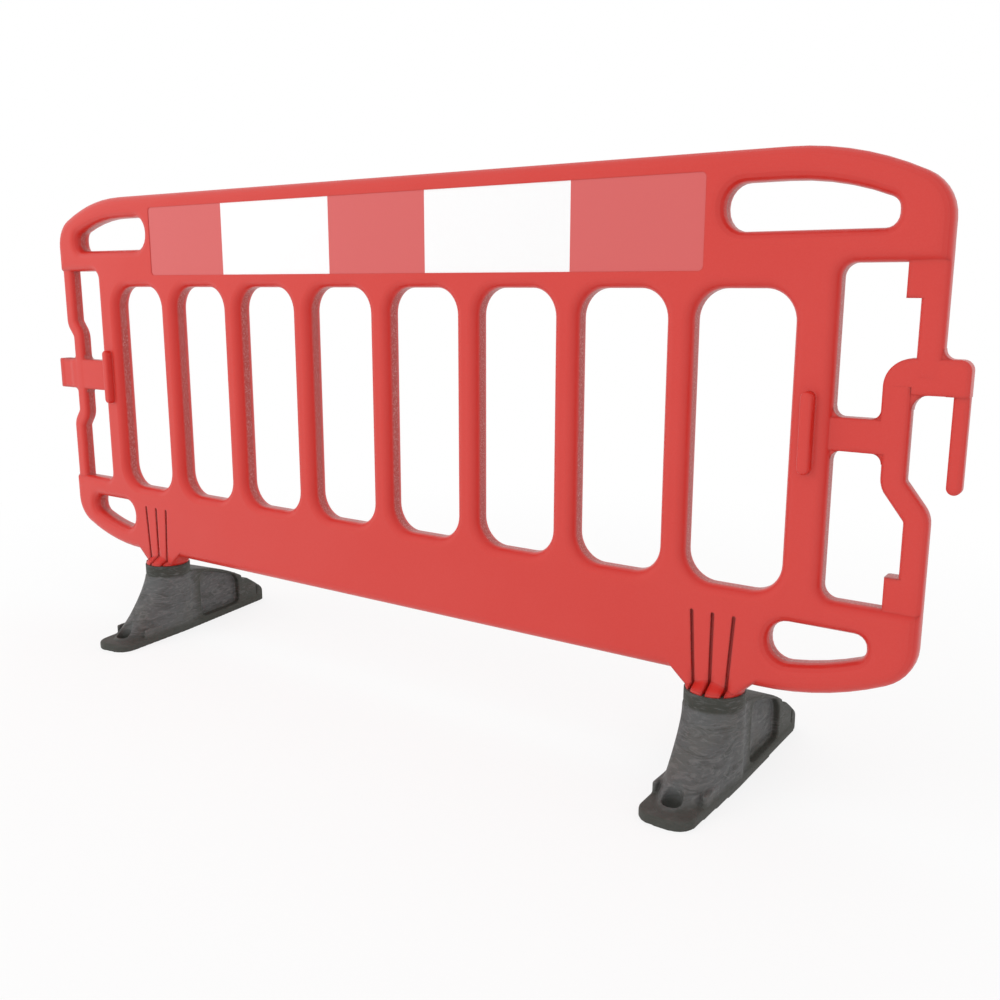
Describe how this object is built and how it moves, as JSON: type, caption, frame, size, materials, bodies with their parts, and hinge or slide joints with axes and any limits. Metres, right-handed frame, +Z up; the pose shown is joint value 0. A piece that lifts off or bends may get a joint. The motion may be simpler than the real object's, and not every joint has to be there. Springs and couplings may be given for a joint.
{
  "type": "pedestrian barrier panel",
  "caption": "Slotted red plastic pedestrian barrier panel on swivelling rubber feet, with hand holds, reflective film and a drop-in hook and eye at its ends.",
  "frame": {"origin": "on the ground below the middle of the panel, at the middle of its thickness", "axes": "+X along the panel towards the hook, the front face looks to -Y, +Z up"},
  "size_m": [2.067, 0.4754, 0.995],
  "materials": {
    "panel_plastic": "satin moulded polyethylene",
    "red_film": "prismatic reflective film",
    "white_film": "prismatic reflective film",
    "foot_rubber": "matt recycled rubber",
    "zinc_steel": "zinc plated"
  },
  "bodies": {
    "panel": {"panel_moulding": "panel_plastic", "left_pivot_bolt": "zinc_steel", "left_pivot_washer": "zinc_steel", "left_captive_nut": "zinc_steel", "right_pivot_bolt": "zinc_steel", "right_pivot_washer": "zinc_steel", "right_captive_nut": "zinc_steel", "front_red_film_left": "red_film", "front_white_film_left": "white_film", "front_red_film_middle": "red_film", "front_white_film_right": "white_film", "front_red_film_right": "red_film", "back_red_film_left": "red_film", "back_white_film_left": "white_film", "back_red_film_middle": "red_film", "back_white_film_right": "white_film", "back_red_film_right": "red_film"},
    "left_foot": {"left_foot": "foot_rubber"},
    "right_foot": {"right_foot": "foot_rubber"}
  },
  "joints": [
    {"name": "left_foot_swivel", "type": "hinge", "parent": "panel", "child": "left_foot", "pos_m": [-0.689, 0, 0.13], "axis": [0, 0, 1], "range_deg": [-97.5, 82.5]},
    {"name": "right_foot_swivel", "type": "hinge", "parent": "panel", "child": "right_foot", "pos_m": [0.689, 0, 0.13], "axis": [0, 0, 1], "range_deg": [-89.5, 90.5]}
  ]
}
